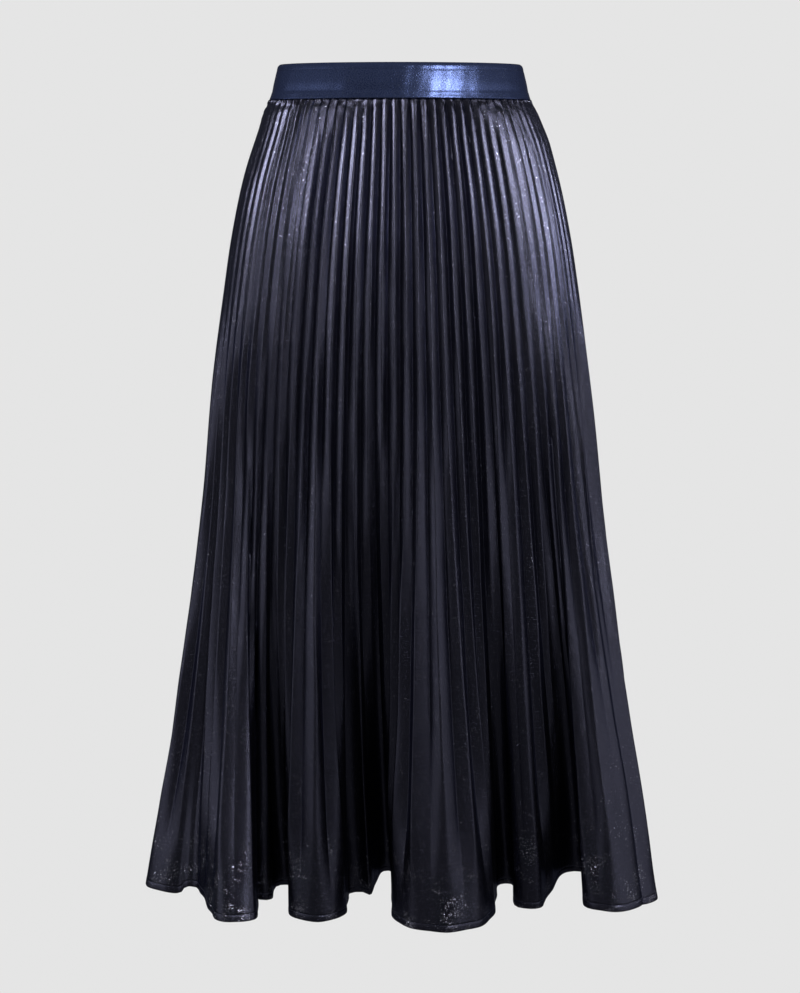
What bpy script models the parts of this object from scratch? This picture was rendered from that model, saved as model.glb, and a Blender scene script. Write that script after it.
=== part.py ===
"""Pleated maxi skirt: a smooth waistband over two sunray-pleated panels.

Metres, +Z up, the front faces -Y. The origin is the centre of the waistband at half
its height, where the wearer's waist holds the skirt. The cloth keeps the hollow form
that it has when worn: round at the waist, over the hips, then falling in soft folds.
"""
import math
from typing import NamedTuple

import bpy
import numpy as np

# Driving dimensions
BAND_HEIGHT = 0.0365
BAND_WALL = 0.0024
BAND_ROLL_RADIUS = 0.0045
BAND_ROLL_DEGREES = 70
SKIRT_DROP = 0.871
CLOTH_WALL = 0.0012
SEAM_GAP = 0.0003
PLEATS_PER_PANEL = 40
PLEAT_FACE_AT_WAIST = 0.0070
PLEAT_FACE_AT_HEM = 0.0195
PLEAT_PRESSED_DEPTH = 0.0012
PLEAT_LEAST_DEPTH = 0.0040
PLEAT_STEEPEST = 1.7
PLEAT_SHARE_OF_BEND = 0.32
PLEAT_OPENING_DROP = 0.030
FOLD_START = -0.200
FOLD_GROWTH = 2.1
BEND_REACH = 2
SHARPEST_MITRE = 0.15

# Levels of the modelled rings, from the top of the waistband to the hem
BAND_STRAIGHT_STEPS = 3
BAND_ROLL_STEPS = 4
BAND_STEPS_PER_HALF = 36
BAND_BOTTOM = -BAND_HEIGHT / 2
BAND_TOP = BAND_HEIGHT / 2
PANEL_TOP = BAND_BOTTOM - SEAM_GAP
ROW_SHARES = (0.0, 0.012, 0.035, 0.080, 0.145, 0.225, 0.320, 0.420, 0.520, 0.620,
              0.715, 0.805, 0.885, 0.950, 1.0)

# Sampling of the smooth outlines
OUTLINE_SAMPLES = 720
SPLINE_SAMPLES = 24
LEAST_TURN = 0.001


class Section(NamedTuple):
    """A level of the plain cone under the folds, measured at mid cloth."""

    height: float
    half_width: float
    front_depth: float
    back_depth: float


class Bend(NamedTuple):
    """A bend of the hem seen from above: the crest of a fold or the hollow between two.

    The bend's outermost or innermost point lies at across, reach. Facing is the bearing
    that its outside looks to, in degrees from the front, growing towards +X.
    """

    turn: int
    across: float
    reach: float
    breadth: float
    facing: float
    lift: float


CREST = 1
HOLLOW = -1
OUTER = 0
INNER = 1

SECTIONS = (
    Section(0.0180, 0.1320, 0.0960, 0.0980),
    Section(0.0000, 0.1364, 0.0990, 0.1010),
    Section(-0.0180, 0.1410, 0.1010, 0.1035),
    Section(-0.0284, 0.1468, 0.1045, 0.1080),
    Section(-0.0500, 0.1534, 0.1105, 0.1160),
    Section(-0.0980, 0.1672, 0.1215, 0.1320),
    Section(-0.1521, 0.1796, 0.1320, 0.1470),
    Section(-0.2340, 0.1926, 0.1430, 0.1590),
    Section(-0.3449, 0.2036, 0.1530, 0.1660),
    Section(-0.4578, 0.2092, 0.1610, 0.1720),
    Section(-0.6300, 0.2162, 0.1710, 0.1800),
    Section(-0.7400, 0.2200, 0.1760, 0.1850),
    Section(-0.8700, 0.2350, 0.1820, 0.1900),
)

# Bends of the front hem from -X to +X, the last one at the right side seam
FRONT_BENDS = (
    Bend(CREST, -0.280, -0.118, 0.036, -65, 0.0),
    Bend(HOLLOW, -0.229, -0.146, 0.012, -35, 0.003),
    Bend(CREST, -0.181, -0.236, 0.027, -12, 0.0),
    Bend(HOLLOW, -0.124, -0.130, 0.012, -10, 0.010),
    Bend(CREST, -0.088, -0.235, 0.031, 0, 0.0),
    Bend(HOLLOW, -0.042, -0.146, 0.012, -8, 0.0),
    Bend(HOLLOW, -0.018, -0.116, 0.009, 8, 0.012),
    Bend(CREST, 0.046, -0.262, 0.054, 4, 0.0),
    Bend(HOLLOW, 0.112, -0.142, 0.010, 12, 0.008),
    Bend(CREST, 0.143, -0.197, 0.019, 12, 0.0),
    Bend(HOLLOW, 0.187, -0.124, 0.013, 22, 0.014),
    Bend(CREST, 0.233, -0.204, 0.038, 20, 0.0),
    Bend(CREST, 0.276, -0.110, 0.030, 78, 0.0),
    Bend(HOLLOW, 0.264, -0.030, 0.016, 90, 0.002),
)

# Bends of the back hem from +X to -X, the last one at the left side seam
BACK_BENDS = (
    Bend(CREST, 0.283, 0.050, 0.028, 102, 0.0),
    Bend(HOLLOW, 0.238, 0.104, 0.016, 124, 0.004),
    Bend(CREST, 0.204, 0.192, 0.032, 140, 0.0),
    Bend(HOLLOW, 0.152, 0.148, 0.014, 146, 0.008),
    Bend(CREST, 0.108, 0.236, 0.030, 164, 0.0),
    Bend(HOLLOW, 0.062, 0.142, 0.014, 170, 0.010),
    Bend(CREST, 0.010, 0.252, 0.040, 178, 0.0),
    Bend(HOLLOW, -0.048, 0.144, 0.014, 186, 0.010),
    Bend(CREST, -0.094, 0.238, 0.030, 196, 0.0),
    Bend(HOLLOW, -0.142, 0.150, 0.014, 212, 0.008),
    Bend(CREST, -0.192, 0.200, 0.034, 220, 0.0),
    Bend(HOLLOW, -0.236, 0.112, 0.016, 242, 0.006),
    Bend(CREST, -0.283, 0.056, 0.026, 258, 0.0),
    Bend(HOLLOW, -0.266, -0.026, 0.016, 270, 0.002),
)
BEND_ANGLES = {CREST: (-76, -40, 0, 40, 76), HOLLOW: (-62, 0, 62)}

# Finish of the coated satin
BAND_COLOUR = (0.045, 0.065, 0.165, 1.0)
BAND_ROUGHNESS = 0.32
CLOTH_COLOUR = (0.020, 0.024, 0.062, 1.0)
CLOTH_ROUGHNESS = 0.38
COATING_METALLIC = 0.7


def clear_scene():
    """Remove every object that the scene starts with."""
    for item in list(bpy.data.objects):
        bpy.data.objects.remove(item, do_unlink=True)


def smooth_value(places, values, place):
    """Read a value at a place on a smooth curve through falling places."""
    places = np.asarray(places, dtype=float)
    values = np.asarray(values, dtype=float)
    slopes = np.gradient(values, places)
    spot = int(np.clip(np.searchsorted(-places, -place), 1, len(places) - 1))
    span = places[spot] - places[spot - 1]
    share = (place - places[spot - 1]) / span
    start_bend = slopes[spot - 1] * span
    end_bend = slopes[spot] * span
    square = share * share
    cube = square * share
    return ((2 * cube - 3 * square + 1) * values[spot - 1]
            + (cube - 2 * square + share) * start_bend
            + (3 * square - 2 * cube) * values[spot]
            + (cube - square) * end_bend)


def section_at(height):
    """Return half width, front depth and back depth of the plain cone at a height."""
    heights = [row.height for row in SECTIONS]
    columns = ("half_width", "front_depth", "back_depth")
    return [smooth_value(heights, [getattr(row, column) for row in SECTIONS], height)
            for column in columns]


def oval_outline(half_width, front_depth, back_depth):
    """Return dense front and back halves of an oval, left to right to left."""
    turn = np.linspace(0.0, math.pi, OUTLINE_SAMPLES)
    front = np.column_stack((-half_width * np.cos(turn), -front_depth * np.sin(turn)))
    back = np.column_stack((half_width * np.cos(turn), back_depth * np.sin(turn)))
    return front, back


def bend_points(bend):
    """Return points on the round of one bend, from left to right, with the hem's lift."""
    bearing = math.radians(bend.facing)
    outward = np.array((math.sin(bearing), -math.cos(bearing)))
    along = np.array((math.cos(bearing), math.sin(bearing)))
    centre = np.array((bend.across, bend.reach)) - bend.turn * bend.breadth * outward
    points = []
    for degrees in BEND_ANGLES[bend.turn]:
        angle = math.radians(degrees)
        arm = bend.turn * math.cos(angle) * outward + math.sin(angle) * along
        spot = centre + bend.breadth * arm
        points.append((spot[0], spot[1], bend.lift))
    return points


def closed_spline(points):
    """Return dense points of a closed centripetal curve through some points."""
    knots = np.asarray(points, dtype=float)
    count = len(knots)
    dense = []
    for index in range(count):
        before, start, end, after = (knots[(index + step) % count] for step in (-1, 0, 1, 2))
        times = [0.0]
        for first, second in ((before, start), (start, end), (end, after)):
            times.append(times[-1] + math.sqrt(np.linalg.norm(second[:2] - first[:2])))
        for step in range(SPLINE_SAMPLES):
            moment = times[1] + (times[2] - times[1]) * step / SPLINE_SAMPLES
            low = blend_points(before, start, times[0], times[1], moment)
            middle = blend_points(start, end, times[1], times[2], moment)
            high = blend_points(end, after, times[2], times[3], moment)
            left = blend_points(low, middle, times[0], times[2], moment)
            right = blend_points(middle, high, times[1], times[3], moment)
            dense.append(blend_points(left, right, times[1], times[2], moment))
    return np.array(dense)


def blend_points(first, second, start, end, moment):
    """Blend two points by where a moment lies between start and end."""
    return ((end - moment) * first + (moment - start) * second) / (end - start)


def hem_outline():
    """Return the dense front and back halves of the folded hem, with lifts."""
    points = [spot for bend in FRONT_BENDS + BACK_BENDS for spot in bend_points(bend)]
    to_seam = len(BEND_ANGLES[HOLLOW]) // 2 + 1
    points = points[-to_seam:] + points[:-to_seam]
    dense = closed_spline(points)
    front_knots = sum(len(BEND_ANGLES[bend.turn]) for bend in FRONT_BENDS)
    right_seam = front_knots * SPLINE_SAMPLES
    front = dense[:right_seam + 1]
    back = np.vstack((dense[right_seam:], dense[:1]))
    return front, back


def even_shares(outline, count):
    """Return count + 1 points spaced evenly along a dense outline."""
    steps = np.linalg.norm(np.diff(outline[:, :2], axis=0), axis=1)
    travelled = np.concatenate(((0.0,), np.cumsum(steps)))
    wanted = np.linspace(0.0, travelled[-1], count + 1)
    return np.column_stack([np.interp(wanted, travelled, outline[:, axis])
                            for axis in range(outline.shape[1])])


def closed_ring(front, back, count):
    """Join two halves, each shared into count steps, into one ring of points."""
    return np.vstack((even_shares(front, count)[:-1], even_shares(back, count)[:-1]))


def outward_normals(ring, reach):
    """Return unit normals out of a counterclockwise ring, read over some neighbours."""
    along = np.roll(ring, -reach, axis=0) - np.roll(ring, reach, axis=0)
    along /= np.linalg.norm(along, axis=1)[:, None]
    return np.column_stack((along[:, 1], -along[:, 0]))


def bend_radii(ring, spacing):
    """Return the radius of the bend that each point of a ring lies in."""
    ahead = np.roll(ring, -BEND_REACH, axis=0) - ring
    behind = ring - np.roll(ring, BEND_REACH, axis=0)
    crossed = ahead[:, 0] * behind[:, 1] - ahead[:, 1] * behind[:, 0]
    aligned = (ahead * behind).sum(axis=1)
    turn = np.abs(np.arctan2(crossed, aligned))
    return BEND_REACH * spacing / np.maximum(turn, LEAST_TURN)


def wall_sides(line):
    """Return the outer and inner sides of a cloth wall along a closed line of creases."""
    along = np.roll(line, -1, axis=0) - line
    along /= np.linalg.norm(along, axis=1)[:, None]
    ahead = np.column_stack((along[:, 1], -along[:, 0]))
    behind = np.roll(ahead, 1, axis=0)
    sharpness = np.maximum(1 + (ahead * behind).sum(axis=1), SHARPEST_MITRE)
    arm = CLOTH_WALL / 2 * (ahead + behind) / sharpness[:, None]
    return line + arm, line - arm


def ease(value):
    """Ease a share from 0 to 1 with level ends."""
    share = min(max(value, 0.0), 1.0)
    return share * share * (3 - 2 * share)


def pleated_ring(height, hem):
    """Return the outer and inner corner points of every crease at a height."""
    creases = 2 * PLEATS_PER_PANEL
    drop = (PANEL_TOP - height) / (PANEL_TOP + SKIRT_DROP)
    fall = max(0.0, (FOLD_START - height) / (FOLD_START + SKIRT_DROP)) ** FOLD_GROWTH
    cone = closed_ring(*oval_outline(*section_at(height)), creases)
    middle = (1 - fall) * cone + fall * hem[:, :2]
    heights = height + fall * hem[:, 2]
    normals = outward_normals(middle, BEND_REACH)
    chord = np.roll(middle, -1, axis=0) - np.roll(middle, 1, axis=0)
    spacing = np.linalg.norm(chord, axis=1) / 2
    face = PLEAT_FACE_AT_WAIST + (PLEAT_FACE_AT_HEM - PLEAT_FACE_AT_WAIST) * drop
    depth = np.sqrt(np.maximum(face ** 2 - spacing ** 2, PLEAT_LEAST_DEPTH ** 2))
    depth = np.minimum(depth, PLEAT_STEEPEST * spacing)
    depth = np.minimum(depth, PLEAT_SHARE_OF_BEND * bend_radii(middle, spacing))
    depth = np.minimum(depth, np.minimum(np.roll(depth, 1), np.roll(depth, -1)))
    opening = ease((PANEL_TOP - height) / PLEAT_OPENING_DROP)
    depth = PLEAT_PRESSED_DEPTH + (depth - PLEAT_PRESSED_DEPTH) * opening
    side = np.where(np.arange(len(middle)) % 2 == 0, -0.5, 0.5)
    outer, inner = wall_sides(middle + normals * (side * depth)[:, None])
    return np.column_stack((outer, heights)), np.column_stack((inner, heights))


def panel_columns(ring, first, count):
    """Take a panel's stretch of a ring, its two ends drawn in by half the seam gap."""
    stretch = ring[[(first + step) % len(ring) for step in range(count + 1)]].copy()
    for end, neighbour in ((0, 1), (-1, -2)):
        inward = stretch[neighbour] - stretch[end]
        stretch[end] += inward / np.linalg.norm(inward) * SEAM_GAP
    return stretch


def wall_faces(rows, columns):
    """Return a closed wall's faces, its outer points numbered before its inner ones."""
    def corner(layer, row, column):
        return (layer * rows + row) * columns + column

    faces = []
    for row in range(rows - 1):
        for column in range(columns - 1):
            near, far = (row, column), (row + 1, column + 1)
            for half in ((near, (row + 1, column), far), (near, far, (row, column + 1))):
                faces.append([corner(OUTER, *spot) for spot in half])
                faces.append([corner(INNER, *spot) for spot in reversed(half)])
    rim = [(0, column) for column in range(columns)]
    rim += [(row, columns - 1) for row in range(1, rows)]
    rim += [(rows - 1, column) for column in range(columns - 2, -1, -1)]
    rim += [(row, 0) for row in range(rows - 2, 0, -1)]
    for start, end in zip(rim, rim[1:] + rim[:1]):
        faces.append([corner(OUTER, *start), corner(OUTER, *end),
                      corner(INNER, *end), corner(INNER, *start)])
    return faces


def wall_mesh(name, outer_rows, inner_rows):
    """Build a closed wall from rows of outer and inner points, top row first."""
    vertices = [tuple(point) for row in outer_rows + inner_rows for point in row]
    mesh = bpy.data.meshes.new(name)
    mesh.from_pydata(vertices, [], wall_faces(len(outer_rows), len(outer_rows[0])))
    mesh.update()
    return mesh


def cloth_material(name, colour, roughness):
    """Return a Principled material for coated satin."""
    material = bpy.data.materials.new(name)
    material.use_nodes = True
    shader = material.node_tree.nodes["Principled BSDF"]
    shader.inputs["Base Color"].default_value = colour
    shader.inputs["Roughness"].default_value = roughness
    shader.inputs["Metallic"].default_value = COATING_METALLIC
    material.diffuse_color = colour
    return material


def add_piece(name, mesh, material):
    """Link a named piece into the scene with its own material."""
    mesh.materials.append(material)
    piece = bpy.data.objects.new(name, mesh)
    bpy.context.scene.collection.objects.link(piece)
    return piece


def build_panels():
    """Build the front and the back pleated panels."""
    creases = 2 * PLEATS_PER_PANEL
    hem = closed_ring(*hem_outline(), creases)
    heights = [PANEL_TOP + (-SKIRT_DROP - PANEL_TOP) * share for share in ROW_SHARES]
    rings = [pleated_ring(height, hem) for height in heights]
    for name, first in (("skirt_front_panel", 0), ("skirt_back_panel", creases)):
        outer_rows = [panel_columns(outer, first, creases) for outer, _ in rings]
        inner_rows = [panel_columns(inner, first, creases) for _, inner in rings]
        mesh = wall_mesh(name, outer_rows, inner_rows)
        add_piece(name, mesh, cloth_material(name, CLOTH_COLOUR, CLOTH_ROUGHNESS))


def band_profile():
    """Return the waistband's mid-wall profile, top first: height, inward shift and tilt."""
    full_turn = math.radians(BAND_ROLL_DEGREES)
    roll_start = BAND_TOP - (BAND_ROLL_RADIUS + BAND_WALL / 2) * math.sin(full_turn)
    profile = []
    for step in range(BAND_ROLL_STEPS, 0, -1):
        tilt = full_turn * step / BAND_ROLL_STEPS
        height = roll_start + BAND_ROLL_RADIUS * math.sin(tilt)
        profile.append((height, BAND_ROLL_RADIUS * (1 - math.cos(tilt)), tilt))
    for step in range(BAND_STRAIGHT_STEPS + 1):
        drop = (roll_start - BAND_BOTTOM) * step / BAND_STRAIGHT_STEPS
        profile.append((roll_start - drop, 0.0, 0.0))
    return profile


def band_ring(height, inward, tilt):
    """Return the outer and inner points of the waistband at one step of its profile."""
    middle = closed_ring(*oval_outline(*section_at(height)), BAND_STEPS_PER_HALF)
    normals = outward_normals(middle, 1)
    across = BAND_WALL / 2 * math.cos(tilt)
    rise = BAND_WALL / 2 * math.sin(tilt)
    outer = middle + normals * (across - inward)
    inner = middle - normals * (across + inward)
    return (np.column_stack((outer, np.full(len(outer), height + rise))),
            np.column_stack((inner, np.full(len(inner), height - rise))))


def build_waistband():
    """Build the front and back halves of the waistband."""
    rings = [band_ring(*step) for step in band_profile()]
    for name, first in (("waistband_front", 0), ("waistband_back", BAND_STEPS_PER_HALF)):
        outer_rows = [panel_columns(outer, first, BAND_STEPS_PER_HALF) for outer, _ in rings]
        inner_rows = [panel_columns(inner, first, BAND_STEPS_PER_HALF) for _, inner in rings]
        mesh = wall_mesh(name, outer_rows, inner_rows)
        add_piece(name, mesh, cloth_material(name, BAND_COLOUR, BAND_ROUGHNESS))


def build_skirt():
    """Build every piece of the skirt."""
    clear_scene()
    build_waistband()
    build_panels()


build_skirt()
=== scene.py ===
"""Dress the pleated maxi skirt: fine pleats, waistband, sewing, finishes and studio.

Metres, +Z up, the front faces -Y, the origin lies in the middle of the waistband.
"""
import logging
import math
from dataclasses import dataclass, field
from enum import Enum
from functools import cached_property
from typing import Callable

import bpy
import numpy as np
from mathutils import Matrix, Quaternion, Vector


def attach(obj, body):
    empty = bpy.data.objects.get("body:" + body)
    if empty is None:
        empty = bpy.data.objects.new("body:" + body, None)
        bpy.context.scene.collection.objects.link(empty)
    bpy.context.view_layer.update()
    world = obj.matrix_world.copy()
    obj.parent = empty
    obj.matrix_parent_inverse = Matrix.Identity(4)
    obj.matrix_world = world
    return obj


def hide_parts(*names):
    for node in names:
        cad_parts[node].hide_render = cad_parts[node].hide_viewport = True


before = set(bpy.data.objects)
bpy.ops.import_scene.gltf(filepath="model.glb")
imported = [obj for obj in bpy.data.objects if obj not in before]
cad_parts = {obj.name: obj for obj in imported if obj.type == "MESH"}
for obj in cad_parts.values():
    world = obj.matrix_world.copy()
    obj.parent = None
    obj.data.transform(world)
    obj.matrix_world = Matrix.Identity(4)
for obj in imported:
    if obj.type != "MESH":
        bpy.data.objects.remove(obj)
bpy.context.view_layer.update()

LOG = logging.getLogger("skirt")
BODY = "root"
Array = np.ndarray
Colour = tuple[float, float, float, float]


class Turn(Enum):
    """Which way a bend of the hem turns, seen from above."""

    CREST = 1
    HOLLOW = -1


class Side(Enum):
    """Half of the skirt, by the first crease of its panel."""

    FRONT = 0
    BACK = 1


ROUND_ANGLES = {Turn.CREST: (-76, -40, 0, 40, 76), Turn.HOLLOW: (-62, 0, 62)}


@dataclass(frozen=True)
class Section:
    """A level of the plain cone under the folds, measured at mid cloth."""

    height: float
    half_width: float
    front_depth: float
    back_depth: float


@dataclass(frozen=True)
class Bend:
    """A bend of the hem: the crest of a fold, or the hollow between two."""

    turn: Turn
    across: float
    reach: float
    breadth: float
    facing: float
    lift: float

    def points(self) -> list[tuple[float, float, float]]:
        """Return points on the round of the bend.

        Returns:
            Points from left to right, each with the hem's lift as its third value.
        """
        bearing = math.radians(self.facing)
        outward = np.array((math.sin(bearing), -math.cos(bearing)))
        along = np.array((math.cos(bearing), math.sin(bearing)))
        centre = np.array((self.across, self.reach)) - self.turn.value * self.breadth * outward
        spots = []
        for degrees in ROUND_ANGLES[self.turn]:
            angle = math.radians(degrees)
            arm = self.turn.value * math.cos(angle) * outward + math.sin(angle) * along
            spot = centre + self.breadth * arm
            spots.append((spot[0], spot[1], self.lift))
        return spots


def ease(value: Array | float) -> Array:
    """Ease a share from 0 to 1 with level ends."""
    share = np.clip(value, 0.0, 1.0)
    return share * share * (3 - 2 * share)


@dataclass(frozen=True)
class Flank:
    """A flank of the skirt, where the soft cloth stands out beyond the plain cone."""

    reach: float
    start_drop: float
    fade_start: float
    fade_end: float

    def push(self, drop: float, height: float) -> float:
        """Return how far the cloth is pushed out at a drop below the band."""
        fade = ease((self.fade_start - height) / (self.fade_start - self.fade_end))
        return self.reach * float(ease(drop / self.start_drop) * (1 - fade))


# Height, half width, front depth and back depth of each level
SECTIONS = (
    Section(0.0180, 0.1320, 0.0960, 0.0980),
    Section(0.0000, 0.1364, 0.0990, 0.1010),
    Section(-0.0180, 0.1410, 0.1010, 0.1035),
    Section(-0.0284, 0.1468, 0.1045, 0.1080),
    Section(-0.0500, 0.1534, 0.1105, 0.1160),
    Section(-0.0980, 0.1672, 0.1215, 0.1320),
    Section(-0.1521, 0.1796, 0.1320, 0.1470),
    Section(-0.2340, 0.1926, 0.1430, 0.1590),
    Section(-0.3449, 0.2036, 0.1530, 0.1660),
    Section(-0.4578, 0.2092, 0.1610, 0.1720),
    Section(-0.6300, 0.2162, 0.1710, 0.1800),
    Section(-0.7400, 0.2200, 0.1760, 0.1850),
    Section(-0.8700, 0.2350, 0.1820, 0.1900),
)
# Turn, place across, reach to the front or back, breadth, facing in degrees and lift of each bend
FRONT_BENDS = (
    Bend(Turn.CREST, -0.280, -0.118, 0.036, -65, -0.0045),
    Bend(Turn.HOLLOW, -0.223, -0.146, 0.012, -35, 0.004),
    Bend(Turn.CREST, -0.180, -0.237, 0.0255, -12, 0.0),
    Bend(Turn.CREST, -0.148, -0.176, 0.008, -8, 0.001),
    Bend(Turn.HOLLOW, -0.124, -0.140, 0.011, -10, 0.005),
    Bend(Turn.CREST, -0.088, -0.235, 0.0305, 0, 0.0),
    Bend(Turn.HOLLOW, -0.042, -0.146, 0.012, -8, -0.001),
    Bend(Turn.HOLLOW, -0.015, -0.116, 0.007, 8, 0.012),
    Bend(Turn.CREST, 0.049, -0.264, 0.054, 4, 0.0),
    Bend(Turn.HOLLOW, 0.1145, -0.142, 0.009, 12, 0.007),
    Bend(Turn.CREST, 0.142, -0.199, 0.0165, 12, 0.0),
    Bend(Turn.HOLLOW, 0.186, -0.124, 0.015, 22, 0.014),
    Bend(Turn.CREST, 0.238, -0.206, 0.0345, 16, 0.0),
    Bend(Turn.CREST, 0.275, -0.174, 0.027, 56, -0.001),
    Bend(Turn.HOLLOW, 0.264, -0.030, 0.016, 90, 0.002),
)
BACK_BENDS = (
    Bend(Turn.CREST, 0.283, 0.050, 0.028, 102, 0.0),
    Bend(Turn.HOLLOW, 0.238, 0.104, 0.016, 124, 0.004),
    Bend(Turn.CREST, 0.204, 0.192, 0.032, 140, 0.0),
    Bend(Turn.HOLLOW, 0.152, 0.148, 0.014, 146, 0.008),
    Bend(Turn.CREST, 0.108, 0.236, 0.030, 164, 0.0),
    Bend(Turn.HOLLOW, 0.062, 0.142, 0.014, 170, 0.010),
    Bend(Turn.CREST, 0.010, 0.252, 0.040, 178, 0.0),
    Bend(Turn.HOLLOW, -0.048, 0.144, 0.014, 186, 0.010),
    Bend(Turn.CREST, -0.094, 0.238, 0.030, 196, 0.0),
    Bend(Turn.HOLLOW, -0.142, 0.150, 0.014, 212, 0.008),
    Bend(Turn.CREST, -0.192, 0.200, 0.034, 220, 0.0),
    Bend(Turn.HOLLOW, -0.236, 0.112, 0.016, 242, 0.006),
    Bend(Turn.CREST, -0.283, 0.056, 0.026, 258, 0.0),
    Bend(Turn.HOLLOW, -0.266, -0.026, 0.016, 270, 0.002),
)


def lengths(line: Array) -> Array:
    """Return the distance travelled along a line at each of its points."""
    steps = np.linalg.norm(np.diff(line, axis=0), axis=1)
    return np.concatenate(((0.0,), np.cumsum(steps)))


def read_round(values: Array, places: Array) -> Array:
    """Read values that are given at whole places of a closed ring.

    Args:
        values: One row for each whole place of the ring.
        places: Where to read, in places; they may lie outside the ring's count.

    Returns:
        The blended values, one row for each place asked for.
    """
    count = len(values)
    low = np.floor(places).astype(int)
    share = places - low
    if values.ndim > 1:
        share = share[:, None]
    return (1 - share) * values[low % count] + share * values[(low + 1) % count]


def outward_normals(ring: Array, reach: int) -> Array:
    """Return unit normals out of a counterclockwise ring.

    Args:
        ring: Points of the ring.
        reach: How many neighbours each way the ring's run is read over.

    Returns:
        One normal for each point.
    """
    along = np.roll(ring, -reach, axis=0) - np.roll(ring, reach, axis=0)
    along /= np.linalg.norm(along, axis=1)[:, None]
    return np.column_stack((along[:, 1], -along[:, 0]))


def mitred_arms(ring: Array, sharpest: float = 0.2) -> Array:
    """Return arms out of a closed line that keep an even distance from its runs.

    Args:
        ring: Points of the closed counterclockwise line.
        sharpest: Least value of one plus the cosine between two runs.

    Returns:
        One arm for each point, as long as its mitre needs for a wall of one.
    """
    along = np.roll(ring, -1, axis=0) - ring
    along /= np.linalg.norm(along, axis=1)[:, None]
    ahead = np.column_stack((along[:, 1], -along[:, 0]))
    behind = np.roll(ahead, 1, axis=0)
    bluntness = np.maximum(1 + (ahead * behind).sum(axis=1), sharpest)
    return (ahead + behind) / bluntness[:, None]


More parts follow.
